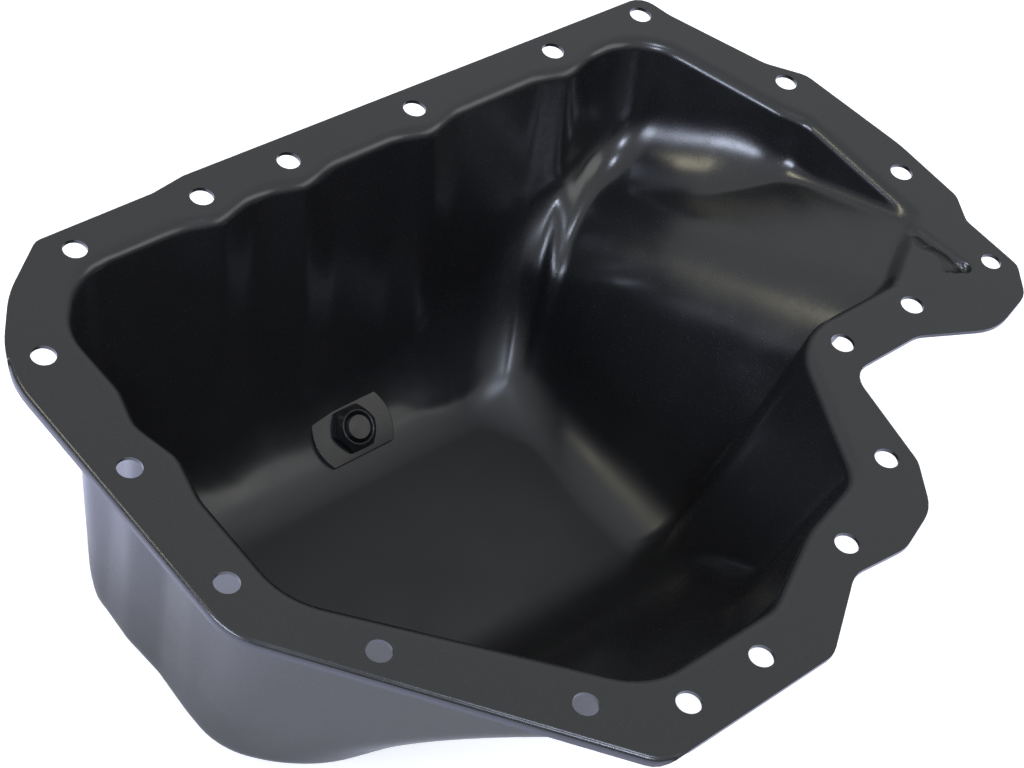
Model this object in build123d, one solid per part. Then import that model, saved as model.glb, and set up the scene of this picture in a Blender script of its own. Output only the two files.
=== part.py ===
from build123d import *
import math
import os

# Engine oil pan: a deep-drawn sheet with a bolting flange, a deep sump at the left, a shallow shelf
# at the right and a shallow bulge in front, and a drain boss with its plug on the bevel at the back.
# X runs along the back rail, Y to the back, Z up. While it is built, z = 0 is the gasket face and
# the sixth bolt hole is at x = y = 0. At the end everything is moved so that the origin is the
# middle of the underside of the box round the whole pan.

# The sheet
sheet = 1.5
rim_bend = 5.5
lip_drop = 4.0
lip_bend = 2.2

# Bolt holes
bolt_hole_d = 9.0
small_hole_d = 8.0
rail_y = 0.0
front_rail_y = -178.0
nose_rail_y = -264.2
nose_side_y = -246.3
bolt_1_x = 277.7
bolt_2_x = 228.6
bolt_3_x = 155.9
bolt_4_x = 94.6
bolt_5_x = 54.9
bolt_6_x = 0.0
bolt_8 = (-40.3, -92.2)
bolt_10 = (-15.8, -194.5)
bolt_11_x = 27.7
bolt_12_x = 57.1
bolt_13_x = 90.8
bolt_14_x = 150.9
bolt_15 = (192.2, -226.7)
bolt_16_x = 219.0
bolt_17_x = 258.2
right_bolt_x = 304.9
bolt_7 = (-37.2, -36.8)
bolt_9 = (-40.9, -147.2)
bolt_19 = (309.7, -123.7)
bolt_20_y = -61.0

# Depths below the gasket face, and the lean of each wall from upright, in degrees
sump_depth = 135.0
back_lean = 10.5
corner_lean = 9.0
left_lean = 4.3
diagonal_lean = 11.0
nose_lean = 14.0
notch_lean = 13.0
shelf_front_lean = 5.0
right_lean = 9.0

# The back wall's distance from the rail's bolts, and the waves of the rim, which clear the heads
# of the bolts and fade towards the floor. Between the waves of the two closest bolts a flat is left.
back_wall_inset = 9.0
wave_back = 4.5
wave_half_width = 15.0
wave_left = 4.4
wave_fade = 0.9
wave_flat = 2.4
wave_dip_round = 18.0
left_wall_x = -26.8
back_corner_x = 271.0
right_knob = (291.0, -72.0)

# Rounding of the corner behind the shelf, at the rim and at the end of the wall's lean
shelf_corner_round = 26.0
shelf_corner_low_round = 10.0

# The bottom of the pan
floor_left_x = -40.0
ramp_foot_x = 196.0
ramp_angle = 70.0
ramp_foot_round = 14.0
bevel_run = 19.4
bevel_angle = 36.0
bevel_round = 6.0
nose_slope_angle = 56.0
nose_slope_round = 14.0
nose_foot_y = -158.5
nose_shelf_depth = 70.0
nose_shelf_angle = 25.0
nose_shelf_round = 22.0
shelf_corner = (285.0, -146.0)
shelf_corner_depth = 5.0
shelf_fall_back = 0.42
shelf_fall_left = 0.27
shelf_round = 22.0
shelf_foot_round = 27.0
shelf_foot_gap = 0.3

# Where the stiffening lip begins behind the left end and ends in front of the diagonal
lip_start_x = -38.0
lip_start_y = -26.0
lip_end_x = 45.0
lip_end_y = -262.0
lip_far_corner = (-70.0, -300.0)

# The groove that runs from the shelf to the corner of the flange
groove_start = (288.5, -141.0)
groove_end = (292.5, -174.0)
groove_width = 5.0
groove_depth = 1.6

# The drain: boss plate, weld nut, plug and sealing washer
drain_x = 116.3
drain_up_bevel = 15.0
boss_plate_d = 38.0
boss_plate_flats = 23.0
boss_plate_thickness = 2.0
weld_nut_flats = 18.0
weld_nut_height = 5.0
nut_turned_angle = 30.0
plug_thread_d = 12.0
plug_running_gap = 0.05
plug_hole_gap = 0.6
plug_flats = 14.0
plug_head_height = 4.5
plug_collar_d = 18.0
plug_collar_height = 1.6
plug_end_stand_out = 0.6
plug_chamfer = 1.2
washer_d = 19.0
washer_thickness = 1.5

# Numbers that only serve the building
reach = 60.0
prism_length = 400.0
bend_steps = 4
loft_depth = sump_depth + 20.0
on_base = (Align.CENTER, Align.CENTER, Align.MIN)


def heading(start, end):
    """Unit vector from one corner to the next."""
    dx = end[0] - start[0]
    dy = end[1] - start[1]
    length = math.hypot(dx, dy)
    return dx / length, dy / length


def moved_sides(corners, outward, grow=0.0):
    """Corners of a closed outline, run anticlockwise, after side i has moved outward by outward[i].
    Roundings that bulge outwards gain the amount grow, and hollow ones lose it."""
    count = len(corners)
    moved = []
    for i in range(count):
        before, here, after = corners[i - 1], corners[i], corners[(i + 1) % count]
        a = heading(before, here)
        b = heading(here, after)
        turn = a[0] * b[1] - a[1] * b[0]
        shift_a = outward[i - 1]
        shift_b = outward[i]
        # The corner moves to where both moved sides meet
        along = (shift_b - shift_a * (a[0] * b[0] + a[1] * b[1])) / turn
        x = here[0] + a[1] * shift_a + a[0] * along
        y = here[1] - a[0] * shift_a + a[1] * along
        radius = here[2] + math.copysign(grow, turn)
        moved.append((x, y, max(radius, 0.3)))
    return moved


def grown(corners, amount):
    """The outline with every side moved outward by the same amount."""
    return moved_sides(corners, [amount] * len(corners), amount)


def rounded_face(corners, height=0.0):
    """A level face whose outline is straight sides joined by tangent arcs."""
    count = len(corners)
    ends = []
    for i in range(count):
        here = corners[i]
        a = heading(corners[i - 1], here)
        b = heading(here, corners[(i + 1) % count])
        turn = math.atan2(a[0] * b[1] - a[1] * b[0], a[0] * b[0] + a[1] * b[1])
        radius = here[2]
        back = radius * math.tan(abs(turn) / 2)
        start = (here[0] - a[0] * back, here[1] - a[1] * back, height)
        end = (here[0] + b[0] * back, here[1] + b[1] * back, height)
        # The middle of the arc lies on the line that halves the corner
        middle_x = b[0] - a[0]
        middle_y = b[1] - a[1]
        size = math.hypot(middle_x, middle_y)
        sag = radius * (1 / math.cos(turn / 2) - 1)
        middle = (here[0] + middle_x / size * sag, here[1] + middle_y / size * sag, height)
        ends.append((start, middle, end))
    edges = []
    for i in range(count):
        start, middle, end = ends[i]
        edges.append(Edge.make_three_point_arc(start, middle, end))
        edges.append(Edge.make_line(end, ends[(i + 1) % count][0]))
    return Face(Wire(edges))


def flange_outline():
    """Outer edge of the flange, anticlockwise from the back right corner: x, y, rounding."""
    return [
        (286.0, 8.6, 8.0),
        (55.0, 12.2, 10.0),
        (40.0, 10.0, 10.0),
        (-10.0, 10.0, 6.0),
        (-32.0, -7.0, 50.0),
        (-52.0, -34.0, 8.0),
        (-52.8, -164.0, 30.0),
        (35.0, -278.0, 14.0),
        (112.5, -277.5, 12.0),
        (143.5, -257.3, 12.0),
        (168.0, -259.3, 15.0),
        (189.0, -252.0, 18.0),
        (201.5, -234.0, 10.0),
        (211.5, -190.5, 10.0),
        (248.0, -190.5, 12.0),
        (279.0, -204.5, 24.0),
        (303.0, -198.0, 12.0),
        (313.2, -185.0, 6.0),
        (313.2, -157.0, 6.0),
        (320.3, -145.0, 7.0),
        (321.3, -112.0, 60.0),
        (316.0, -62.0, 9.0),
        (305.0, -48.0, 14.0),
        (289.0, -6.0, 12.0),
    ]


def back_corner():
    """Where the back wall meets the right wall at the rim, before the corner is rounded."""
    return back_corner_x, rail_y - back_wall_inset


def shoulder_round():
    """Rounding where a wave leaves the wall: what fits between the waves of the two closest bolts."""
    room = (bolt_4_x - bolt_5_x - wave_flat) / 2 - wave_half_width
    return room / math.tan(math.atan(wave_back / wave_half_width) / 2)


def rim_outline(depth, grow=0.0):
    """Inner wall at a depth below the gasket face, anticlockwise from the back right corner."""
    fade = 1 - wave_fade * depth / loft_depth
    dip = wave_back * fade
    corner_round = shelf_corner_round
    corner_round += (shelf_corner_low_round - shelf_corner_round) * depth / loft_depth
    back_y = rail_y - back_wall_inset
    rows = [(*back_corner(), corner_round, back_lean)]
    for x in (bolt_2_x, bolt_3_x, bolt_4_x, bolt_5_x):
        rows.append((x + wave_half_width, back_y, shoulder_round(), back_lean))
        rows.append((x, back_y - dip, wave_dip_round, back_lean))
        rows.append((x - wave_half_width, back_y, shoulder_round(), back_lean))
    rows += [
        (-5.0, back_y, 22.0, corner_lean),
        (left_wall_x + wave_left * fade, -31.0, 14.0, left_lean),
        (left_wall_x + wave_left * fade, -62.0, 14.0, left_lean),
        (left_wall_x, -77.0, 12.0, left_lean),
        (left_wall_x + wave_left * fade, -96.0, 12.0, left_lean),
        (-27.0, -114.0, 20.0, left_lean),
        (-27.5, -161.5, 32.0, diagonal_lean),
        (51.5, -251.5, 28.0, nose_lean),
        (110.0, -251.5, 20.0, notch_lean),
        (145.0, -234.0, 30.0, notch_lean),
        (175.9, -226.3, 16.0, notch_lean),
        (207.1, -165.0, 28.0, shelf_front_lean),
        (262.0, -165.0, 24.0, shelf_front_lean),
        (296.0, -146.0, 9.0, right_lean),
        (296.5, -83.0, 5.0, right_lean),
        (*right_knob, 5.0, right_lean),
    ]
    corners = [row[:3] for row in rows]
    outward = []
    for row in rows:
        lean = math.radians(row[3])
        outward.append(grow / math.cos(lean) - depth * math.tan(lean))
    return moved_sides(corners, outward, grow)


def profile_prism(corners, plane):
    """A profile of sides and tangent arcs, drawn on a plane and extruded both ways."""
    return extrude(plane * rounded_face(corners), amount=prism_length, both=True)


def bevel_foot_y():
    """Where the bevel meets the floor: in front of the line of the back wall at the floor."""
    wall_y = rail_y - back_wall_inset - sump_depth * math.tan(math.radians(back_lean))
    return wall_y - bevel_run


def bottom_zone(grow=0.0):
    """Everything above the bottom of the pan: floor, bevel, slopes, ramp and shelf."""
    ramp = math.tan(math.radians(ramp_angle))
    top = reach
    run = (sump_depth + top) / ramp
    along = [
        (ramp_foot_x, -sump_depth, ramp_foot_round),
        (ramp_foot_x + run, top, 1.0),
        (floor_left_x - reach, top, 1.0),
        (floor_left_x - reach, -sump_depth, 1.0),
    ]
    nose = math.tan(math.radians(nose_slope_angle))
    bulge = math.tan(math.radians(nose_shelf_angle))
    bevel = math.tan(math.radians(bevel_angle))
    nose_top_y = nose_foot_y - (sump_depth - nose_shelf_depth) / nose
    front_y = nose_top_y - nose_shelf_depth / bulge
    back_y = bevel_foot_y() + (sump_depth + top) / bevel
    across = [
        (bevel_foot_y(), -sump_depth, bevel_round),
        (back_y, top, 1.0),
        (front_y, top, 1.0),
        (front_y, 0.0, 1.0),
        (nose_top_y, -nose_shelf_depth, nose_shelf_round),
        (nose_foot_y, -sump_depth, nose_slope_round),
    ]
    side_view = Plane(origin=(0, 0, 0), x_dir=(0, 1, 0), z_dir=(1, 0, 0))
    front_view = Plane(origin=(0, 0, 0), x_dir=(1, 0, 0), z_dir=(0, -1, 0))
    deep = profile_prism(grown(along, grow), front_view)
    shallow = shelf_zone(grow) & shelf_foot(back_corner(), right_knob, right_lean, grow)
    shallow &= shelf_foot(back_corner(), (back_corner_x + reach, back_corner()[1]), back_lean, grow)
    return (deep + shallow) & profile_prism(grown(across, grow), side_view)


def shelf_foot(start, end, lean, grow):
    """The room beside one wall of the shelf, with a wide rounding where that wall meets the shelf.
    The wall's line at the rim runs from start to end, with the room on its right. Just above the
    rounding the room is left open, so that the wall itself bounds it there."""
    along = heading(start, end)
    tilt = math.radians(lean)
    inward = Vector(along[1] * math.cos(tilt), -along[0] * math.cos(tilt), math.sin(tilt))
    shelf = Vector(-shelf_fall_left, shelf_fall_back, 1).normalized()
    into = (inward - shelf * inward.dot(shelf)).normalized()
    upward = (shelf - inward * inward.dot(shelf)).normalized()
    # The point of the crease between wall and shelf that lies below the wall's start
    on_wall = Vector(*start, 0) - inward * shelf_foot_gap
    on_shelf = Vector(*shelf_corner, -shelf_corner_depth)
    crease = on_wall + upward * ((on_shelf - on_wall).dot(shelf) / upward.dot(shelf))
    # How far the rounding reaches up the wall
    rise = shelf_foot_round * math.tan(math.acos(inward.dot(shelf)) / 2) + shelf_foot_gap + sheet
    profile = [
        (0.0, 0.0, shelf_foot_round),
        (prism_length, 0.0, 1.0),
        (prism_length, prism_length, 1.0),
        (-prism_length, prism_length, 1.0),
        (-prism_length, upward.dot(shelf) * rise, 1.0),
        (upward.dot(into) * rise, upward.dot(shelf) * rise, sheet / 4),
    ]
    plane = Plane(origin=crease, x_dir=into, z_dir=into.cross(shelf))
    return profile_prism(grown(profile, grow), plane)


def shelf_zone(grow):
    """Everything above the shelf and its rolled edge. The shelf falls to the back and to the left."""
    ramp = math.radians(ramp_angle)
    ramp_normal = Vector(-math.sin(ramp), 0, math.cos(ramp))
    shelf_normal = Vector(-shelf_fall_left, shelf_fall_back, 1).normalized()
    crease = shelf_normal.cross(ramp_normal).normalized()
    outward = shelf_normal.cross(crease)
    # A point of the crease, halfway along the shelf
    y = (shelf_corner[1] + rail_y) / 2
    fall = shelf_corner_depth + shelf_fall_back * (y - shelf_corner[1])
    rise = 1 / math.tan(ramp)
    x = ramp_foot_x + (sump_depth - fall - shelf_fall_left * shelf_corner[0]) * rise
    x /= 1 - shelf_fall_left * rise
    z = -fall - shelf_fall_left * (shelf_corner[0] - x)
    crease_plane = Plane(origin=(x, y, z), x_dir=outward, z_dir=crease)
    down = crease_plane.to_local_coords(Vector(x, y, z) + crease.cross(ramp_normal) * shelf_round * 1.5)
    profile = [
        (0.0, 0.0, shelf_round),
        (3 * reach, 0.0, 1.0),
        (3 * reach, 4 * reach, 1.0),
        (-reach, 4 * reach, 1.0),
        (down.X - reach, down.Y, 1.0),
        (down.X, down.Y, 1.0),
    ]
    return profile_prism(grown(profile, grow), crease_plane)


def bend_rings(radius, start):
    """Depth and sideways shift of each ring of a quarter bend, from the flat to the upright side."""
    rings = []
    for step in range(bend_steps + 1):
        angle = math.pi / 2 * step / bend_steps
        depth = start + radius * (1 - math.cos(angle))
        shift = start + radius * (1 - math.sin(angle))
        rings.append((depth, shift))
    return rings


def cavity(grow):
    """The room that the rolled rim, the walls and the bottom close in."""
    wires = []
    for depth, shift in bend_rings(rim_bend - grow, grow):
        wires.append(rounded_face(rim_outline(depth, shift), -depth).outer_wire())
    wires.append(rounded_face(rim_outline(loft_depth, grow), -loft_depth).outer_wire())
    walls = Solid.make_loft(wires, True)
    return (walls & bottom_zone(grow)).solids()[0]


def tray(start):
    """The flange with its edge bent down all round, solid below."""
    wires = []
    for depth, shift in bend_rings(lip_bend - start, start):
        wires.append(rounded_face(grown(flange_outline(), -shift), -depth).outer_wire())
    wires.append(rounded_face(grown(flange_outline(), -start), -lip_drop).outer_wire())
    return Solid.make_loft(wires, True)


def flange():
    """Flat plate, with the stiffening lip round the left end and along the diagonal."""
    plate = extrude(rounded_face(flange_outline()), amount=-sheet)
    corner_x, corner_y = lip_far_corner
    zone_points = [
        (corner_x, lip_start_y),
        (lip_start_x, lip_start_y),
        (lip_end_x, lip_end_y),
        (lip_end_x, corner_y),
        (corner_x, corner_y),
    ]
    outline = make_face(Polyline(*zone_points, close=True))
    zone = extrude(outline, amount=reach, both=True)
    lip = (tray(0.0) - tray(sheet)) & zone
    return (plate - zone) + lip


def groove(grow):
    """Room of the pressed groove, with a round bottom and round ends."""
    radius = (groove_width ** 2 / 4 + groove_depth ** 2) / (2 * groove_depth)
    start = Vector(*groove_start, radius - groove_depth)
    end = Vector(*groove_end, radius - groove_depth)
    run = end - start
    bar = Plane(origin=start, z_dir=run) * extrude(Circle(radius + grow), amount=run.length)
    room = bar + Pos(start) * Sphere(radius + grow)
    return room + Pos(end) * Sphere(radius + grow)


def bolt_holes():
    """Centre and diameter of each hole of the flange."""
    rail = [bolt_1_x, bolt_2_x, bolt_3_x, bolt_4_x, bolt_5_x, bolt_6_x]
    holes = [((x, rail_y), bolt_hole_d) for x in rail]
    holes += [(centre, bolt_hole_d) for centre in (bolt_7, bolt_8, bolt_9, bolt_10)]
    holes += [((x, nose_side_y), bolt_hole_d) for x in (bolt_11_x, bolt_14_x)]
    holes += [((x, nose_rail_y), bolt_hole_d) for x in (bolt_12_x, bolt_13_x)]
    holes.append((bolt_15, bolt_hole_d))
    holes += [((x, front_rail_y), bolt_hole_d) for x in (bolt_16_x, bolt_17_x)]
    holes.append(((right_bolt_x, front_rail_y), small_hole_d))
    holes.append((bolt_19, bolt_hole_d))
    holes.append(((right_bolt_x, bolt_20_y), bolt_hole_d))
    return holes


def drain_plane():
    """Middle of the bevel on the inside of the sheet, Z into the pan and Y up the bevel."""
    slope = math.radians(bevel_angle)
    y = bevel_foot_y() + drain_up_bevel * math.cos(slope)
    z = -sump_depth + drain_up_bevel * math.sin(slope)
    inward = (0, -math.sin(slope), math.cos(slope))
    return Plane(origin=(drain_x, y, z), x_dir=(1, 0, 0), z_dir=inward)


def pan_pressing():
    """The whole pressing: flange, walls, bottom, groove, bolt holes and the hole for the plug."""
    flange_room = extrude(rounded_face(flange_outline()), amount=-reach)
    solid = [cavity(sheet), groove(sheet) & flange_room]
    rooms = [cavity(0.0), groove(0.0)]
    for centre, diameter in bolt_holes():
        rooms.append(Pos(*centre, 0) * Cylinder(diameter / 2, 4 * lip_drop))
    rooms.append(drain_plane() * Cylinder(plug_thread_d / 2 + plug_hole_gap, 2 * weld_nut_height))
    return flange() + solid - rooms


def drain_boss_plate():
    """Round plate with a flat along the foot of the bevel and one along its top."""
    disc = Circle(boss_plate_d / 2) & Rectangle(boss_plate_d, boss_plate_flats)
    hole = Circle(plug_thread_d / 2 + plug_hole_gap)
    return drain_plane() * extrude(disc - hole, amount=boss_plate_thickness)


def drain_weld_nut():
    """Hexagonal nut on the boss plate, its upper corners turned off, bored for the plug."""
    across = weld_nut_flats / 2
    nut = extrude(RegularPolygon(across, 6, major_radius=False), amount=weld_nut_height)
    spread = weld_nut_height / math.tan(math.radians(nut_turned_angle))
    nut &= Cone(across + spread, across, weld_nut_height, align=on_base)
    nut -= Cylinder(plug_thread_d / 2 + plug_running_gap, weld_nut_height, align=on_base)
    return drain_plane() * Pos(0, 0, boss_plate_thickness) * nut


def sealing_washer():
    """Flat ring between the outside of the sheet and the plug's collar."""
    ring = Circle(washer_d / 2) - Circle(plug_thread_d / 2 + plug_hole_gap)
    return drain_plane() * Pos(0, 0, -sheet) * extrude(ring, amount=-washer_thickness)


def drain_plug():
    """Plug with a hexagon head and a collar outside the pan, and its end just through the nut."""
    under_head = -sheet - washer_thickness
    end = boss_plate_thickness + weld_nut_height + plug_end_stand_out
    shank = Pos(0, 0, under_head) * Cylinder(plug_thread_d / 2, end - under_head, align=on_base)
    shank = chamfer(shank.edges().sort_by(Axis.Z)[-1], plug_chamfer)
    collar = Pos(0, 0, under_head) * extrude(Circle(plug_collar_d / 2), amount=-plug_collar_height)
    flats = RegularPolygon(plug_flats / 2, 6, major_radius=False)
    head = Pos(0, 0, under_head) * extrude(flats, amount=-plug_head_height)
    return drain_plane() * (shank + collar + head)


if __name__ == "__main__":
    os.makedirs("parts", exist_ok=True)
    nodes = {
        "pan_pressing": pan_pressing(),
        "drain_boss_plate": drain_boss_plate(),
        "drain_weld_nut": drain_weld_nut(),
        "drain_plug": drain_plug(),
        "sealing_washer": sealing_washer(),
    }
    boxes = [shape.bounding_box() for shape in nodes.values()]
    low = [min(getattr(box.min, axis) for box in boxes) for axis in "XYZ"]
    high = [max(getattr(box.max, axis) for box in boxes) for axis in "XYZ"]
    home = Pos(-(low[0] + high[0]) / 2, -(low[1] + high[1]) / 2, -low[2])
    for name, shape in nodes.items():
        export_step(home * shape, "parts/" + name + ".step")
    print("size", [b - a for a, b in zip(low, high)], "home", home.position)
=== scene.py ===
"""Engine oil pan: a black-coated pressing with its drain fittings, in a pale studio."""

import logging
import math
from collections.abc import Iterator
from contextlib import contextmanager
from dataclasses import dataclass, field
from enum import Enum

import bpy
import numpy as np
from mathutils import Matrix, Vector


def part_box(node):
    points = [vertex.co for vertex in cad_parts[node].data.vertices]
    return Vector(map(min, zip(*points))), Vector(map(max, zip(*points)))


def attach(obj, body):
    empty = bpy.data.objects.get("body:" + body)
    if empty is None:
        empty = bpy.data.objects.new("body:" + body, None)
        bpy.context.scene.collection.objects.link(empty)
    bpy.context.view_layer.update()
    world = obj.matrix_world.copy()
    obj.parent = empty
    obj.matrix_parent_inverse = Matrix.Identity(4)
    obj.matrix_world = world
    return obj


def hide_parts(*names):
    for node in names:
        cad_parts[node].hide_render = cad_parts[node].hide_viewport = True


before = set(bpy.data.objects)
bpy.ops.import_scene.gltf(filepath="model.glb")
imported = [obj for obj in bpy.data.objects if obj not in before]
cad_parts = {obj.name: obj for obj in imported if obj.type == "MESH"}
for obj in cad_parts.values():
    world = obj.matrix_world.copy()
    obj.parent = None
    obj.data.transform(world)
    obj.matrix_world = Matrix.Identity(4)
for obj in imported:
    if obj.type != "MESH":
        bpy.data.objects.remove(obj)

log = logging.getLogger("oil_pan")

MM = 0.001
SMOOTH_ANGLE = 40
FLAT_WEIGHT = 70
Array = np.ndarray
Solid = bpy.types.Object
Socket = bpy.types.NodeSocket
# x, y and rounding of each corner of an outline, in millimetres
Corners = list[tuple[float, float, float]]


class Slot(Enum):
    """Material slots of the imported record."""

    BLACK_COAT = "black_coat"
    PLUG_STEEL = "plug_steel"
    WASHER_METAL = "washer_metal"


# ---- small helpers for modelling with operators


def only(*objects: Solid) -> None:
    """Selects these objects alone and makes the first one active."""
    bpy.ops.object.select_all(action="DESELECT")
    for thing in objects:
        thing.select_set(True)
    bpy.context.view_layer.objects.active = objects[0]


def apply_all(thing: Solid) -> None:
    """Applies each modifier of an object, in order."""
    only(thing)
    for name in [modifier.name for modifier in thing.modifiers]:
        bpy.ops.object.modifier_apply(modifier=name)


def settle(thing: Solid, place: Matrix) -> None:
    """Moves an object to its place in the frame and bakes the place into its mesh."""
    thing.matrix_world = place @ thing.matrix_world
    only(thing)
    bpy.ops.object.transform_apply(location=True, rotation=True, scale=True)


def cut(thing: Solid, cutter: Solid, operation: str = "DIFFERENCE") -> None:
    """Cuts a solid with another one and removes the cutter.

    Args:
        thing: the solid that stays.
        cutter: the solid that is used up.
        operation: the Boolean modifier's operation.
    """
    boolean = thing.modifiers.new("cut", "BOOLEAN")
    boolean.operation = operation
    boolean.solver = "EXACT"
    boolean.object = cutter
    apply_all(thing)
    bpy.data.objects.remove(cutter)


def soften(thing: Solid, width: float, segments: int = 2, angle: float = 50.0) -> None:
    """Rounds the sharp edges of a piece and shades it smooth.

    Args:
        thing: the piece.
        width: width of the rounding, in millimetres.
        segments: faces across the rounding.
        angle: edges sharper than this many degrees are rounded.
    """
    bevel = thing.modifiers.new("rounding", "BEVEL")
    bevel.width = width * MM
    bevel.segments = segments
    bevel.limit_method = "ANGLE"
    bevel.angle_limit = math.radians(angle)
    bevel.use_clamp_overlap = True
    apply_all(thing)
    only(thing)
    bpy.ops.object.shade_smooth_by_angle(angle=math.radians(SMOOTH_ANGLE))
    weighted = thing.modifiers.new("flat faces stay flat", "WEIGHTED_NORMAL")
    weighted.keep_sharp = True
    weighted.weight = FLAT_WEIGHT
    apply_all(thing)


@contextmanager
def editing(thing: Solid) -> Iterator[None]:
    """Opens a mesh for editing with all of it selected, and closes it afterwards."""
    only(thing)
    bpy.ops.object.mode_set(mode="EDIT")
    bpy.ops.mesh.select_all(action="SELECT")
    yield
    bpy.ops.object.mode_set(mode="OBJECT")


def newest(name: str) -> Solid:
    """Names the object that an operator has just added."""
    made = bpy.context.active_object
    made.name = name
    return made


def closed_and_outward(thing: Solid, merge: float = 0.004) -> None:
    """Merges a mesh's doubles, closer than a distance in millimetres, and turns it outwards."""
    with editing(thing):
        bpy.ops.mesh.remove_doubles(threshold=merge * MM)
        bpy.ops.mesh.normals_make_consistent(inside=False)


def grid_sheet(name: str, points: Array) -> Solid:
    """Adds a grid and lays its vertices on rows and columns of points.

    Args:
        name: name of the new object.
        points: array of rows by columns by 3, in metres.

    Returns:
        The new object, with one vertex for each point.
    """
    rows, columns, _ = points.shape
    bpy.ops.object.select_all(action="DESELECT")
    bpy.ops.mesh.primitive_grid_add(x_subdivisions=columns - 1, y_subdivisions=rows - 1, size=1)
    sheet = newest(name)
    flat = np.empty(len(sheet.data.vertices) * 3)
    sheet.data.vertices.foreach_get("co", flat)
    flat = flat.reshape(-1, 3)
    column = np.rint((flat[:, 0] + 0.5) * (columns - 1)).astype(int)
    row = np.rint((flat[:, 1] + 0.5) * (rows - 1)).astype(int)
    sheet.data.vertices.foreach_set("co", points[row, column].astype(np.float32).ravel())
    sheet.data.update()
    return sheet


def lathe(name: str, profile: list[tuple[float, float]], steps: int = 96) -> Solid:
    """Turns a closed profile round the Z axis.

    Args:
        name: name of the new object.
        profile: radius and height of each corner, in millimetres.
        steps: faces round the turn.

    Returns:
        The turned solid.
    """
    bpy.ops.object.select_all(action="DESELECT")
    bpy.ops.mesh.primitive_circle_add(vertices=len(profile), radius=1)
    turned = newest(name)
    for vertex, (radius, height) in zip(turned.data.vertices, profile):
        vertex.co = (radius * MM, 0, height * MM)
    with editing(turned):
        bpy.ops.mesh.spin(steps=steps, angle=2 * math.pi, center=(0, 0, 0), axis=(0, 0, 1))
    closed_and_outward(turned)
    return turned


# ---- outlines, made of sides and tangent arcs


def running_total(steps: Array) -> Array:
    """Sum of all steps before each place, from 0 at the first one."""
    return np.concatenate(([0], np.cumsum(steps)))


def lengths_along(line: Array) -> Array:
    """Length of a line up to each of its points."""
    return running_total(np.hypot(*np.diff(line, axis=0).T))


def signed_degrees(angles: Array) -> Array:
    """Angles in degrees, from -180 up to 180."""
    return (np.degrees(angles) + 180) % 360 - 180


def heading(start: tuple, end: tuple) -> Array:
    """Unit vector from one corner to the next."""
    step = np.array(end[:2], float) - np.array(start[:2], float)
    return step / np.hypot(*step)


def moved_sides(corners: Corners, outward: list[float], grow: float = 0.0) -> Corners:
    """Moves side i of an anticlockwise outline outward by outward[i].

    Args:
        corners: the outline.
        outward: the shift of each side, in millimetres.
        grow: what the outward roundings gain and the hollow ones lose.

    Returns:
        The new outline.
    """
    moved = []
    for i, here in enumerate(corners):
        a = heading(corners[i - 1], here)
        b = heading(here, corners[(i + 1) % len(corners)])
        turn = a[0] * b[1] - a[1] * b[0]
        along = (outward[i] - outward[i - 1] * (a @ b)) / turn
        x = here[0] + a[1] * outward[i - 1] + a[0] * along
        y = here[1] - a[0] * outward[i - 1] + a[1] * along
        moved.append((x, y, max(here[2] + math.copysign(grow, turn), 0.3)))
    return moved


def rounded_line(corners: Corners, spacing: float) -> Array:
    """Points along an outline's sides and arcs.

    Args:
        corners: the outline.
        spacing: the largest distance between two points, in millimetres.

    Returns:
        Array of points by 2, in millimetres.
    """
    arcs = []
    for i, here in enumerate(corners):
        a = heading(corners[i - 1], here)
        b = heading(here, corners[(i + 1) % len(corners)])
        turn = math.atan2(a[0] * b[1] - a[1] * b[0], a @ b)
        corner = np.array(here[:2])
        start = corner - a * here[2] * math.tan(abs(turn) / 2)
        centre = start + np.array((-a[1], a[0])) * math.copysign(here[2], turn)
        steps = max(2, math.ceil(abs(turn) * here[2] / spacing))
        arm = start - centre
        angles = np.linspace(0, turn, steps + 1)
        x = centre[0] + arm[0] * np.cos(angles) - arm[1] * np.sin(angles)
        y = centre[1] + arm[0] * np.sin(angles) + arm[1] * np.cos(angles)
        arcs.append(np.stack((x, y), 1))
    points = []
    for i, arc in enumerate(arcs):
        after = arcs[(i + 1) % len(arcs)][0]
        steps = max(1, math.ceil(np.hypot(*(after - arc[-1])) / spacing))
        points += [arc, arc[-1] + np.outer(np.arange(1, steps) / steps, after - arc[-1])]
    return np.concatenate(points)


def round_inside(a: Array, b: Array, radius: float | Array) -> Array:
    """Distance inside both of two regions, with the corner between their sides rounded."""
    u = np.maximum(radius - a, 0)
    v = np.maximum(radius - b, 0)
    return np.maximum(radius, np.minimum(a, b)) - np.hypot(u, v)


def round_either(a: Array, b: Array, radius: float) -> Array:
    """Distance inside either of two regions, with the edge between their sides rounded."""
    return -round_inside(-a, -b, radius)


def tilted(run: Array, rise: Array, degrees: float) -> Array:
    """Distance to a slope of that angle, from the run and the rise measured to its foot."""
    slope = math.radians(degrees)
    return run * math.sin(slope) + rise * math.cos(slope)


def smooth_step(value: Array, low: float, high: float) -> Array:
    """Rises smoothly from 0 at the low value to 1 at the high one."""
    share = np.clip((value - low) / (high - low), 0, 1)
    return share * share * (3 - 2 * share)


# ---- the pressing


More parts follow.
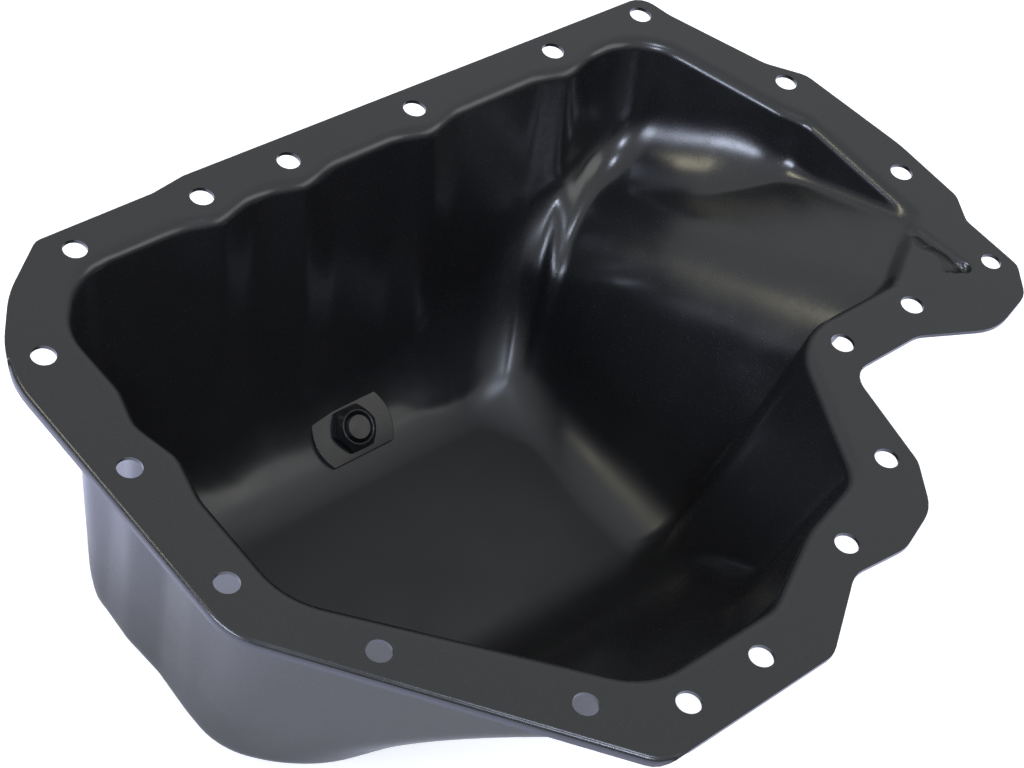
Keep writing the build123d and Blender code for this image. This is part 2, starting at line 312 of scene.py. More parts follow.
@dataclass
class WallTable:
    """How far the walls lie from the pan's middle, for each depth and direction."""

    depths: Array
    radius: Array
    square: Array

    def at(self, depth: Array) -> tuple[Array, Array]:
        """Distance of the wall, and the share of a radial distance that is square to it.

        Args:
            depth: array of directions by points, in millimetres below the gasket face.

        Returns:
            Two arrays of the same shape.
        """
        step = self.depths[1] - self.depths[0]
        level = np.clip((depth - self.depths[0]) / step, 0, len(self.depths) - 1.001)
        low = level.astype(int)
        part = level - low
        which = np.arange(depth.shape[0])[:, None]
        radius = self.radius[low, which] * (1 - part) + self.radius[low + 1, which] * part
        square = self.square[low, which] * (1 - part) + self.square[low + 1, which] * part
        return radius, square


@dataclass
class PanPressing:
    """The deep-drawn pan: flange with its lip and bolt holes, walls, floor, shelf and bulge.

    Sizes are in millimetres from the sixth bolt hole, with the gasket face at height 0.
    """

    sheet: float = 1.5
    rim_bend: float = 4.2
    edge_round: float = 0.28
    edge_angle: float = 65.0
    lip_bend: float = 2.2
    lip_drop: float = 4.0
    lip_fade: float = 14.0
    bend_share: float = 0.625
    foot_round: float = 9.0
    least_round: float = 4.0
    round_share: float = 0.55
    back_corner_round: float = 24.0
    shelf_foot_round: float = 22.0
    corner_window_x: tuple[float, float] = (138.0, 172.0)
    corner_window_y: tuple[float, float] = (-130.0, -90.0)
    shelf_window_x: tuple[float, float] = (205.0, 240.0)
    shelf_window_y: tuple[float, float] = (-102.0, -62.0)
    sump_depth: float = 135.0
    back_lean: float = 10.5
    corner_lean: float = 9.0
    left_lean: float = 4.3
    diagonal_lean: float = 11.0
    nose_lean: float = 14.0
    notch_lean: float = 13.0
    shelf_front_lean: float = 5.0
    right_lean: float = 9.0
    back_wall_inset: float = 9.0
    wave_back: float = 4.5
    wave_half_width: float = 15.0
    wave_left: float = 4.4
    wave_fade: float = 0.9
    wave_foot_round: float = 25.0
    wave_crest_round: float = 18.0
    left_wall_x: float = -26.8
    shelf_corner_round: float = 26.0
    shelf_corner_low_round: float = 10.0
    loft_depth: float = 155.0
    ramp_foot_x: float = 196.0
    ramp_angle: float = 70.0
    ramp_foot_round: float = 18.0
    bevel_run: float = 19.4
    bevel_angle: float = 36.0
    bevel_round: float = 6.0
    bevel_corner_round: float = 24.0
    nose_foot_y: float = -158.5
    nose_slope_angle: float = 56.0
    nose_slope_round: float = 14.0
    nose_shelf_depth: float = 70.0
    nose_shelf_angle: float = 25.0
    nose_shelf_round: float = 22.0
    shelf_corner: tuple[float, float, float] = (285.0, -146.0, -5.0)
    shelf_left_x: float = 150.0
    shelf_fall_back: float = 0.37
    shelf_fall_left: float = 0.27
    shelf_round: float = 22.0
    groove_start: tuple[float, float] = (288.5, -141.0)
    groove_end: tuple[float, float] = (292.5, -174.0)
    groove_width: float = 5.6
    groove_depth: float = 2.3
    pit_radius: float = 3.0
    pit_depth: float = 3.6
    pit_round: float = 1.0
    groove_round: float = 1.2
    bolt_hole: float = 9.0
    small_hole: float = 8.0
    hole_points: int = 40
    hole_clearance: float = 0.9
    lip_start_y: float = -26.0
    lip_start_x: float = -38.0
    lip_end_x: float = 45.0
    middle: tuple[float, float, float] = (130.0, -110.0, 60.0)
    # how the walls are measured: depths from, to and by, and a small turn in radians
    table_depths: tuple[float, float, float] = (-10.0, 160.0, 5.0)
    nudge: float = 0.006
    # how the mesh is spread: windows in degrees seen from the middle, lengths in millimetres
    point_spacing: float = 0.7
    edge_spacing: float = 3.0
    edge_points: int = 9
    stations: int = 384
    denser_by: float = 1.8
    denser_from: tuple[float, float] = (-46.0, -36.0)
    denser_until: tuple[float, float] = (4.0, 12.0)
    levels: int = 90
    rays: int = 640
    ring_levels: int = 20
    ring_rays: int = 90
    ring_width: float = 1.5
    flat_margin: float = 0.6
    groove_ring: float = 180.5
    groove_from: tuple[float, float] = (-25.2, 2.0)
    groove_until: tuple[float, float] = (-8.0, 4.0)
    farthest: float = 420.0
    halvings: int = 30
    level_length: float = 4.6
    level_turn: float = 6.0
    most_turn: float = 0.5
    shared_stations: int = 7
    shared_rays: int = 5
    seam: float = 0.012
    home: Vector = field(default_factory=Vector)

    def __post_init__(self) -> None:
        """Finds where the frame's origin lies: under the middle of the flange's box."""
        line = rounded_line(self.flange_outline(), 0.5)
        low, high = line.min(0), line.max(0)
        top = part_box("pan_pressing")[1].z / MM
        self.home = Vector((-(low[0] + high[0]) / 2, -(low[1] + high[1]) / 2, top))

    def placed(self, points: Array) -> Array:
        """The same points in the frame, in metres."""
        return (points + np.array(self.home)) * MM

    def bolts(self) -> list[tuple[float, float, float]]:
        """Centre and diameter of each hole of the flange.

        Returns:
            One tuple for each hole, in millimetres.
        """
        nine = [
            (277.7, 0.0), (228.6, 0.0), (155.9, 0.0), (94.6, 0.0), (54.9, 0.0), (0.0, 0.0),
            (-37.2, -36.8), (-40.3, -92.2), (-40.9, -147.2), (-15.8, -194.5),
            (27.7, -246.3), (57.1, -264.2), (90.8, -264.2), (150.9, -246.3), (192.2, -226.7),
            (219.0, -178.0), (258.2, -178.0), (309.7, -123.7), (304.9, -61.0),
        ]
        return [(x, y, self.bolt_hole) for x, y in nine] + [(304.9, -178.0, self.small_hole)]

    def flange_outline(self) -> Corners:
        """Outer edge of the flange, anticlockwise from the back right corner."""
        return [
            (286.0, 8.6, 8.0), (55.0, 12.2, 10.0), (40.0, 10.0, 10.0), (-10.0, 10.0, 6.0),
            (-32.0, -7.0, 50.0), (-52.0, -34.0, 50.0), (-52.8, -164.0, 30.0), (35.0, -278.0, 14.0),
            (112.5, -277.5, 12.0), (143.5, -257.3, 12.0), (168.0, -259.3, 15.0),
            (189.0, -252.0, 18.0), (201.5, -234.0, 10.0), (211.5, -190.5, 10.0),
            (248.0, -190.5, 12.0), (279.0, -204.5, 24.0), (303.0, -198.0, 12.0),
            (313.2, -185.0, 6.0), (313.2, -157.0, 6.0), (320.3, -145.0, 7.0),
            (321.3, -112.0, 60.0), (316.0, -62.0, 9.0), (305.0, -48.0, 14.0), (289.0, -6.0, 12.0),
        ]

    def rim_outline(self, depth: float, grow: float = 0.0) -> Corners:
        """Inner wall at a depth below the gasket face.

        Args:
            depth: depth in millimetres.
            grow: how far the outline is moved outward.

        Returns:
            The outline, anticlockwise from the back right corner.
        """
        fade = 1 - self.wave_fade * depth / self.loft_depth
        back_y = -self.back_wall_inset
        dip_y = back_y - self.wave_back * fade
        wave_x = self.left_wall_x + self.wave_left * fade
        shrink = self.shelf_corner_low_round - self.shelf_corner_round
        corner_round = self.shelf_corner_round + shrink * depth / self.loft_depth
        rows = [(271.0, back_y, corner_round, self.back_lean)]
        for x in (228.6, 155.9, 94.6, 54.9):
            rows += [
                (x + self.wave_half_width, back_y, self.wave_foot_round, self.back_lean),
                (x, dip_y, self.wave_crest_round, self.back_lean),
                (x - self.wave_half_width, back_y, self.wave_foot_round, self.back_lean),
            ]
        rows += [
            (-5.0, back_y, 30.0, self.corner_lean),
            (wave_x, -31.0, 24.0, self.left_lean),
            (wave_x, -62.0, 14.0, self.left_lean),
            (self.left_wall_x, -77.0, 12.0, self.left_lean),
            (wave_x, -96.0, 12.0, self.left_lean),
            (-27.0, -114.0, 20.0, self.left_lean),
            (-27.5, -161.5, 32.0, self.diagonal_lean),
            (51.5, -251.5, 28.0, self.nose_lean),
            (110.0, -251.5, 20.0, self.notch_lean),
            (145.0, -234.0, 30.0, self.notch_lean),
            (175.9, -226.3, 16.0, self.notch_lean),
            (207.1, -165.0, 28.0, self.shelf_front_lean),
            (262.0, -165.0, 24.0, self.shelf_front_lean),
            (296.0, -146.0, 9.0, self.right_lean),
            (296.5, -83.0, 5.0, self.right_lean),
            (291.0, -72.0, 5.0, self.right_lean),
        ]
        leans = [math.radians(row[3]) for row in rows]
        outward = [grow / math.cos(lean) - depth * math.tan(lean) for lean in leans]
        return moved_sides([row[:3] for row in rows], outward, grow)

    def wall_table(self, directions: Array) -> WallTable:
        """Measures the walls from the pan's middle.

        Args:
            directions: the directions, in radians.

        Returns:
            The table of distances.
        """
        depths, nudge = np.arange(*self.table_depths), self.nudge
        rows, slopes = [], []
        for depth in depths:
            line = rounded_line(self.rim_outline(depth), self.point_spacing)
            line = line - np.array(self.middle[:2])
            angle = np.arctan2(line[:, 1], line[:, 0])
            far = np.hypot(line[:, 0], line[:, 1])

            def reach(where: Array) -> Array:
                """Distance of this outline in each direction."""
                return np.interp(where, angle, far, period=2 * math.pi)

            rows.append(reach(directions))
            slopes.append((reach(directions + nudge) - reach(directions - nudge)) / (2 * nudge))
        radius = np.array(rows)
        sideways = np.array(slopes) / radius
        lean = np.gradient(radius, depths, axis=0)
        return WallTable(depths, radius, 1 / np.sqrt(1 + sideways**2 + lean**2))

    def shelf_height(self, x: Array, y: Array) -> Array:
        """Height of the shelf's plane at each place."""
        corner_x, corner_y, corner_z = self.shelf_corner
        fall = self.shelf_fall_back * (y - corner_y)
        return corner_z + self.shelf_fall_left * (x - corner_x) - fall

    def foot_radius(self, x: Array, y: Array) -> Array:
        """Rounding between the walls and the bottom: tight in the sump, wide round the shelf.

        Args:
            x: places along the back rail, in millimetres.
            y: places towards the back.

        Returns:
            The radius at each place.
        """
        corner = smooth_step(x, *self.corner_window_x) * smooth_step(y, *self.corner_window_y)
        sump = self.foot_round + (self.back_corner_round - self.foot_round) * corner
        wide = -self.round_share * self.shelf_height(x, y)
        wide = np.clip(wide, self.least_round, self.shelf_foot_round)
        grown = (wide - self.least_round) * smooth_step(y, *self.shelf_window_y)
        shelf = self.least_round + grown
        return sump + (shelf - sump) * smooth_step(x, *self.shelf_window_x)

    def bottom_distance(self, x: Array, y: Array, z: Array) -> Array:
        """Height above the floor, ramp, shelf, bevel and bulge, square to each.

        Args:
            x: places along the back rail, in millimetres.
            y: places towards the back.
            z: heights above the gasket face.

        Returns:
            The distances, with rounded corners between the surfaces.
        """
        floor = z + self.sump_depth
        ramp_side = tilted(self.ramp_foot_x - x, floor, self.ramp_angle)
        wall_y = -self.back_wall_inset - self.sump_depth * math.tan(math.radians(self.back_lean))
        bevel = tilted(wall_y - self.bevel_run - y, floor, self.bevel_angle)
        sides = round_inside(ramp_side, bevel, self.bevel_corner_round)
        soft = np.where(ramp_side < bevel, self.ramp_foot_round, self.bevel_round)
        blend = smooth_step(np.abs(ramp_side - bevel), 0.0, self.bevel_corner_round)
        middle = (self.ramp_foot_round + self.bevel_round) / 2
        deep = round_inside(floor, sides, middle + (soft - middle) * blend)
        steep = math.sqrt(1 + self.shelf_fall_left**2 + self.shelf_fall_back**2)
        shelf = np.minimum((z - self.shelf_height(x, y)) / steep, x - self.shelf_left_x)
        room = round_either(deep, shelf, self.shelf_round)
        slope_side = tilted(y - self.nose_foot_y, floor, self.nose_slope_angle)
        steepness = math.tan(math.radians(self.nose_slope_angle))
        top_y = self.nose_foot_y - (self.sump_depth - self.nose_shelf_depth) / steepness
        shelf_side = tilted(y - top_y, z + self.nose_shelf_depth, self.nose_shelf_angle)
        bulge = round_either(slope_side, shelf_side, self.nose_shelf_round)
        return round_inside(room, bulge, self.nose_slope_round)

    def groove_distance(self, x: Array, y: Array, z: Array) -> Array:
        """Depth inside the round bar that presses the groove into the flange."""
        radius = (self.groove_width**2 / 4 + self.groove_depth**2) / (2 * self.groove_depth)
        start, end = np.array(self.groove_start), np.array(self.groove_end)
        run = end - start
        share = ((x - start[0]) * run[0] + (y - start[1]) * run[1]) / (run @ run)
        share = np.clip(share, 0, 1)
        across = np.hypot(x - start[0] - share * run[0], y - start[1] - share * run[1])
        bar = radius - np.hypot(across, z - radius + self.groove_depth)
        middle = self.pit_radius - self.pit_depth
        pit = self.pit_radius - np.hypot(np.hypot(x - end[0], y - end[1]), z - middle)
        return round_either(bar, pit, self.pit_round)

    def surface(self) -> Array:
        """The inside of the pan, from the flat of the flange down to the middle of the floor.

        Returns:
            Array of directions by levels by 3, in millimetres, with the first row again at the end.
        """
        centre_x, centre_y, eye = self.middle
        rim = rounded_line(self.rim_outline(0, self.rim_bend), self.point_spacing)
        rim = rim - np.array((centre_x, centre_y))
        angles = np.unwrap(np.arctan2(rim[:, 1], rim[:, 0]))
        degrees = signed_degrees(angles)
        denser = self.denser_by * smooth_step(degrees, *self.denser_from)
        denser = 1 + denser * smooth_step(-degrees, *self.denser_until)
        steps = np.diff(lengths_along(rim)) * (denser[1:] + denser[:-1]) / 2
        weights = running_total(steps)
        places = np.arange(self.stations) / self.stations * weights[-1]
        directions = np.interp(places, weights, angles)
        walls = self.wall_table(directions)
        flat = np.zeros((self.stations, 1))
        wall, square = walls.at(flat)
        edge = (wall + (self.rim_bend + self.flat_margin) / square)[:, 0]
        ring = self.round_the_groove(edge + self.ring_width, directions)
        edge = self.clear_of_holes(edge, directions)[:, None]
        ring = self.clear_of_holes(ring, directions)[:, None]
        outer = ring + (edge - ring) * np.arange(self.ring_rays) / self.ring_rays
        lowest = np.arctan2(eye, edge)
        angle = lowest + (math.pi / 2 - lowest) * np.linspace(0, 1, self.rays)[None, :]
        angle = np.concatenate((np.arctan2(eye, outer), angle), 1)
        near, far = np.zeros_like(angle), np.full_like(angle, self.farthest)
        cos, sin = np.cos(angle), np.sin(angle)
        cos_way, sin_way = np.cos(directions)[:, None], np.sin(directions)[:, None]
        for _ in range(self.halvings):
            half = (near + far) / 2
            inside = self.inside(walls, half * cos, eye - half * sin, cos_way, sin_way) > 0
            near, far = np.where(inside, half, near), np.where(inside, far, half)
        across, height = near * cos, eye - near * sin
        height[:, 0], across[:, -1] = 0.0, 0.0
        points, first = np.stack((across, height)), self.ring_rays
        ring_part = self.even_levels(points[:, :, :first + 1], self.ring_levels)
        pan_part = self.even_levels(points[:, :, first:], self.levels)
        across, height = np.concatenate((ring_part[:, :, :-1], pan_part), 2)
        rows = np.stack((centre_x + across * cos_way, centre_y + across * sin_way, height), 2)
        return np.concatenate((rows, rows[:1]))

    def round_the_groove(self, edge: Array, directions: Array) -> Array:
        """Widens the curved area where the groove runs out over the flange.

        Args:
            edge: radius at which the flat of the flange begins, in each direction.
            directions: the directions, in radians.

        Returns:
            The wider radius.
        """
        degrees = signed_degrees(directions)
        (first, rise), (last, fall) = self.groove_from, self.groove_until
        window = np.clip((degrees - first) / rise, 0, 1) * np.clip((last - degrees) / fall, 0, 1)
        window = smooth_step(window, 0, 1)
        return edge + np.maximum(self.groove_ring - edge, 0) * window

    def clear_of_holes(self, edge: Array, directions: Array) -> Array:
        """Keeps the edge of the curved area off the bolt holes.

        Args:
            edge: radius at which the flat of the flange begins, in each direction.
            directions: the directions, in radians.

        Returns:
            The radius, smaller in front of a hole that lies close to the bend.
        """
        for x, y, diameter in self.bolts():
            off_x, off_y = x - self.middle[0], y - self.middle[1]
            along = off_x * np.cos(directions) + off_y * np.sin(directions)
            aside = off_x * np.sin(directions) - off_y * np.cos(directions)
            reach = diameter / 2 + self.hole_clearance
            half = np.sqrt(np.maximum(reach**2 - aside**2, 0))
            hit = (np.abs(aside) < reach) & (along > 0)
            edge = np.where(hit, np.minimum(edge, along - half), edge)
        return edge

    def inside(self, walls: WallTable, across: Array, z: Array, cos: Array, sin: Array) -> Array:
        """Distance inside the open room of the pan and above the flange.

        Args:
            walls: the table of the walls.
            across: distance from the pan's middle, directions by points.
            z: height above the gasket face.
            cos: cosine of each direction.
            sin: sine of each direction.

        Returns:
            The distances, negative in the sheet.
        """
        x = self.middle[0] + across * cos
        y = self.middle[1] + across * sin
        wall, square = walls.at(-z)
        bottom = self.bottom_distance(x, y, z)
        room = round_inside((wall - across) * square, bottom, self.foot_radius(x, y))
        room = round_either(room, z, self.rim_bend)
        return round_either(room, self.groove_distance(x, y, z), self.groove_round)

    def even_levels(self, points: Array, levels: int) -> Array:
        """Spreads the levels of each direction evenly, closer together where the sheet bends.

        Args:
            points: distance from the middle and height, 2 by directions by rays.
            levels: the number of levels.

        Returns:
            Array of 2 by directions by levels.
        """
        step_r, step_z = np.diff(points, axis=2)
        length = np.hypot(step_r, step_z)
        way = np.unwrap(np.arctan2(step_z, step_r), axis=1)
        bend = np.zeros_like(length)
        bend[:, 1:] = np.abs(np.diff(way, axis=1))
        bend = np.minimum(bend, self.most_turn) / math.radians(self.level_turn)
        own = length / self.level_length + bend
        reach = self.shared_stations
        shares = np.hanning(2 * reach + 3)[1:-1]
        shares /= shares.sum()
        density = sum(
            share * np.roll(own, step, axis=0)
            for step, share in zip(range(-reach, reach + 1), shares)
        )
        reach = self.shared_rays
        kernel = np.hanning(2 * reach + 1)
        kernel /= kernel.sum()
        spread = []
        for i, row in enumerate(density):
            smooth = np.convolve(np.pad(row, reach, mode="edge"), kernel, mode="valid")
            total = running_total(smooth)
            wanted = np.linspace(0, total[-1], levels)
            spread.append([np.interp(wanted, total, part[i]) for part in points])
        return np.array(spread).transpose(1, 0, 2)

    def outer_strip(self) -> Array:
        """The flange's edge, flat or bent down into the lip.

        Returns:
            Array of places round the edge by points across it by 3, in millimetres.
        """
        line = rounded_line(self.flange_outline(), self.edge_spacing)
        along = np.roll(line, -1, axis=0) - np.roll(line, 1, axis=0)
        along /= np.hypot(along[:, 0], along[:, 1])[:, None]
        outward = np.stack((along[:, 1], -along[:, 0]), 1)
        bent = self.lip_share(line)
        rows = []
        for share in np.linspace(0, 1, self.edge_points):
            angle = min(share / self.bend_share, 1) * math.pi / 2
            straight = max(share - self.bend_share, 0) / (1 - self.bend_share)
            out = self.lip_bend * math.sin(angle)
            down = self.lip_bend * (1 - math.cos(angle))
            down += (self.lip_drop - self.lip_bend) * straight
            flat_out = self.lip_bend * share
            rows.append((flat_out + (out - flat_out) * bent, -down * bent))
        base = line - outward * self.lip_bend
        points = []
        for out, height in rows:
            flat = base + outward * out[:, None]
            points.append(np.concatenate((flat, height[:, None]), 1))
        strip = np.stack(points, 1)
        return np.concatenate((strip, strip[:1]))

    def lip_share(self, line: Array) -> Array:
        """How far the edge is bent down at each point of the outline, from 0 to 1."""
        length = lengths_along(line)
        left = (line[:, 0] < self.lip_start_x) & (line[:, 1] < self.lip_start_y)
        front = (line[:, 0] < self.lip_end_x) & (line[:, 1] < self.lip_start_y)
        there = np.flatnonzero(left | front)
        from_end = np.minimum(length - length[there[0]], length[there[-1]] - length)
        return smooth_step(from_end, 0, self.lip_fade)

    def flat_of_flange(self, ring: Array, outer: Array) -> Solid:
        """Fills the flange between the curved area, the bent edge and the bolt holes.

        Args:
            ring: where the flat meets the curved area, in millimetres.
            outer: where it meets the edge strip.

        Returns:
            The flat sheet.
        """
        curve = bpy.data.curves.new("flange_flat", "CURVE")
        curve.dimensions = "2D"
        curve.fill_mode = "FRONT"
        turn = np.arange(self.hole_points) / self.hole_points * 2 * math.pi
        lines = [outer, ring]
        for x, y, diameter in self.bolts():
            circle = np.stack((x + diameter / 2 * np.cos(turn), y + diameter / 2 * np.sin(turn)), 1)
            lines.append(circle)
        for line in lines:
            points = self.placed(np.concatenate((line[:, :2], np.zeros((len(line), 1))), 1))
            spline = curve.splines.new("POLY")
            spline.points.add(len(points) - 1)
            for point, (x, y, _) in zip(spline.points, points):
                point.co = (x, y, 0, 1)
            spline.use_cyclic_u = True
        flat = bpy.data.objects.new("flange_flat", curve)
        bpy.context.scene.collection.objects.link(flat)
        only(flat)
        bpy.ops.object.convert(target="MESH")
        flat = bpy.context.active_object
        for vertex in flat.data.vertices:
            vertex.co.z = self.home.z * MM
        return flat

    def build(self) -> Solid:
        """Models the whole pressing.

        Returns:
            The closed shell.
        """
        inner = self.surface()
        strip = self.outer_strip()
        parts = [
            grid_sheet("pan_shell", self.placed(inner)),
            grid_sheet("edge_strip", self.placed(strip)),
            self.flat_of_flange(inner[:-1, 0], strip[:-1, 0]),
        ]
        only(*parts)
        bpy.ops.object.join()
        shell = bpy.context.active_object
        closed_and_outward(shell, self.seam)
        mesh = shell.data
        lowest = min(mesh.polygons, key=lambda face: face.center.z)
        if lowest.normal.z < 0:
            mesh.flip_normals()
        solidify = shell.modifiers.new("sheet", "SOLIDIFY")
        solidify.thickness = self.sheet * MM
        solidify.offset = -1
        solidify.use_even_offset = False
        solidify.use_quality_normals = True
        apply_all(shell)
        self.cut_drain_hole(shell)
        soften(shell, self.edge_round, 2, self.edge_angle)
        log.info("pressing: %d faces", len(shell.data.polygons))
        return shell

    def cut_drain_hole(self, shell: Solid) -> None:
        """Cuts the hole for the plug through the bevel."""
        radius, low, high = DrainFittings.hole_r, -8, 6
        hole = lathe("drain_hole", [(0, low), (radius, low), (radius, high), (0, high)], 48)
        settle(hole, drain_place())
        cut(shell, hole)


# ---- the drain


def drain_place() -> Matrix:
    """Place of the drain: origin on the inside of the bevel, Z into the pan, Y up the bevel."""
    low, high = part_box("drain_boss_plate")
    tilt = math.radians(PanPressing.bevel_angle)
    cos, sin = math.cos(tilt), math.sin(tilt)
    inward = Vector((0, -sin, cos))
    origin = (low + high) / 2 - inward * DrainFittings.plate_thickness * MM / 2
    turn = Matrix(((1, 0, 0), (0, cos, -sin), (0, sin, cos))).to_4x4()
    return Matrix.Translation(origin) @ turn


@dataclass
class DrainFittings:
    """Boss plate, weld nut, plug and washer, in millimetres on the drain's own axes."""

    plate_d: float = 38.0
    plate_flats: float = 23.0
    plate_thickness: float = 2.0
    hole_r: float = 6.6
    nut_flats: float = 18.0
    nut_height: float = 5.0
    nut_turning: float = 48.0
    nut_face_r: float = 7.3
    nut_lead: float = 0.7
    head_turning: float = 30.0
    head_face_r: float = 6.7
    bore_r: float = 6.05
    thread_r: float = 6.0
    thread_pitch: float = 1.25
    thread_depth: float = 0.6
    plain_length: float = 1.0
    run_in: float = 1.2
    run_out: float = 0.8
    tip_length: float = 1.2
    tip_taper: float = 0.9
    stand_out: float = 0.6
    washer_r: float = 9.5
    washer_thickness: float = 1.5
    washer_round: float = 0.35
    collar_r: float = 9.0
    collar_height: float = 1.6
    collar_round: float = 0.3
    head_flats: float = 14.0
    head_height: float = 4.5
    overlap: float = 0.4
    spare: float = 6.0
    sheet: float = PanPressing.sheet

    def hexagon(self, name: str, flats: float, low: float, high: float) -> Solid:
        """Adds a six-sided block with two flats square to Y.

        Args:
            name: its name.
            flats: size across the flats.
            low: height of its underside.
            high: height of its top.

        Returns:
            The block.
        """
        bpy.ops.object.select_all(action="DESELECT")
        bpy.ops.mesh.primitive_cylinder_add(
            vertices=6,
            radius=flats / 2 / math.cos(math.pi / 6) * MM,
            depth=(high - low) * MM,
            location=(0, 0, (low + high) / 2 * MM),
            rotation=(0, 0, math.pi / 6),
        )
        block = newest(name)
        bpy.ops.object.transform_apply(location=True, rotation=True, scale=True)
        return block

    def turned_corners(
        self, block: Solid, face_r: float, turning: float, low: float, high: float
    ) -> None:
        """Turns the six corners of a hexagon off, at one end.

        Args:
            block: the hexagon.
            face_r: radius of the flat face that stays.
            turning: angle of the turning, in degrees.
            low: height of the end that stays square.
            high: height of the end that is turned.
        """
        slope = math.tan(math.radians(turning))
        away = 1.0 if high > low else -1.0
        wide = face_r + self.spare
        below = low - away * self.spare / 2
        profile = [
            (0, below), (wide, below), (wide, high - away * self.spare * slope),
            (face_r, high), (0, high),
        ]
        cut(block, lathe("corner_turning", profile), "INTERSECT")

    def boss_plate(self) -> Solid:
        """Models the round plate with its two flats.

        Returns:
            The plate.
        """
        top = self.plate_thickness
        radius = self.plate_d / 2
        profile = [(self.hole_r, 0), (radius, 0), (radius, top), (self.hole_r, top)]
        plate = lathe("boss_plate", profile, 120)
        for side in (1, -1):
            with editing(plate):
                bpy.ops.mesh.bisect(
                    plane_co=(0, side * self.plate_flats / 2 * MM, 0),
                    plane_no=(0, side, 0),
                    use_fill=True,
                    clear_outer=True,
                )
        closed_and_outward(plate)
        soften(plate, 0.35, 3)
        return plate

    def weld_nut(self) -> Solid:
        """Models the hexagonal nut with its bore.

        Returns:
            The nut.
        """
        low = self.plate_thickness
        high = low + self.nut_height
        nut = self.hexagon("weld_nut", self.nut_flats, low, high)
        self.turned_corners(nut, self.nut_face_r, self.nut_turning, low, high)
        bore, lead = self.bore_r, self.nut_lead
        profile = [
            (0, low - 1), (bore, low - 1), (bore, high - lead),
            (bore + lead, high), (bore + lead, high + 1), (0, high + 1),
        ]
        cut(nut, lathe("bore", profile, 64))
        soften(nut, 0.25, 2, 25.0)
        return nut

    def plug(self) -> Solid:
        """Models the plug: threaded shank, collar and hexagon head.

        Returns:
            The plug.
        """
        under = -self.sheet - self.washer_thickness
        end = self.plate_thickness + self.nut_height + self.stand_out
        shank = self.threaded_shank(under, end)
        collar_low = under - self.collar_height
        edge, turn = self.collar_r, self.collar_round
        profile = [
            (0, under), (edge - turn, under), (edge, under - turn), (edge, collar_low + turn),
            (edge - turn, collar_low), (0, collar_low),
        ]
        collar = lathe("collar", profile)
        head_low, head_top = under - self.head_height, under - self.overlap
        head = self.hexagon("plug_head", self.head_flats, head_low, head_top)
        self.turned_corners(head, self.head_face_r, self.head_turning, head_top, head_low)
        cut(collar, head, "UNION")
        cut(collar, shank, "UNION")
        collar.name = "plug"
        soften(collar, 0.2, 2, 28.0)
        return collar

    def threaded_shank(self, low: float, end: float) -> Solid:
        """Models the screw thread as rows of points that rise one pitch a turn.

        Args:
            low: where the shank leaves the collar.
            end: height of the plug's end.

        Returns:
            The closed shank.
        """
        start = low - self.overlap
        tip = end - self.tip_length
        round_steps, rows_a_turn = 64, 10
        rows = int((tip - low) / self.thread_pitch * rows_a_turn)
        heights = np.linspace(low, tip, rows)
        angle = np.arange(round_steps + 1) / round_steps * 2 * math.pi
        turn = heights[:, None] / self.thread_pitch - angle[None, :] / (2 * math.pi)
        ridge = np.abs((turn % 1) * 2 - 1)
        fade = np.clip((heights - low - self.plain_length) / self.run_in, 0, 1)
        fade *= np.clip((tip - heights) / self.run_out, 0, 1)
        radius = self.thread_r - self.thread_depth * ridge * fade[:, None]
        rows_r = [np.zeros_like(angle), np.full_like(angle, self.thread_r), *radius]
        rows_z = [start, start, *heights]
        for step in (1.0, 0.6, 0.3, 0.0):
            narrower = self.tip_length * (1 - step) * self.tip_taper
            rows_r.append(np.full_like(angle, self.thread_r - narrower))
            rows_z.append(end - self.tip_length * step)
        rows_r.append(np.zeros_like(angle))
        rows_z.append(end)
        grid = [
            np.stack((r * np.cos(angle), r * np.sin(angle), np.full_like(angle, z)), 1)
            for r, z in zip(rows_r, rows_z)
        ]
        shank = grid_sheet("shank", np.array(grid) * MM)
        closed_and_outward(shank)
        return shank

    def washer(self) -> Solid:
        """Models the sealing washer with rounded edges.

        Returns:
            The washer.
        """
        high = -self.sheet
        low = high - self.washer_thickness
        inner, outer, turn = self.hole_r, self.washer_r, self.washer_round
        profile = [
            (inner + turn, low), (outer - turn, low), (outer, low + turn), (outer, high - turn),
            (outer - turn, high), (inner + turn, high), (inner, high - turn), (inner, low + turn),
        ]
        ring = lathe("washer", profile)
        soften(ring, 0.12, 2, 30.0)
        return ring


# ---- finishes


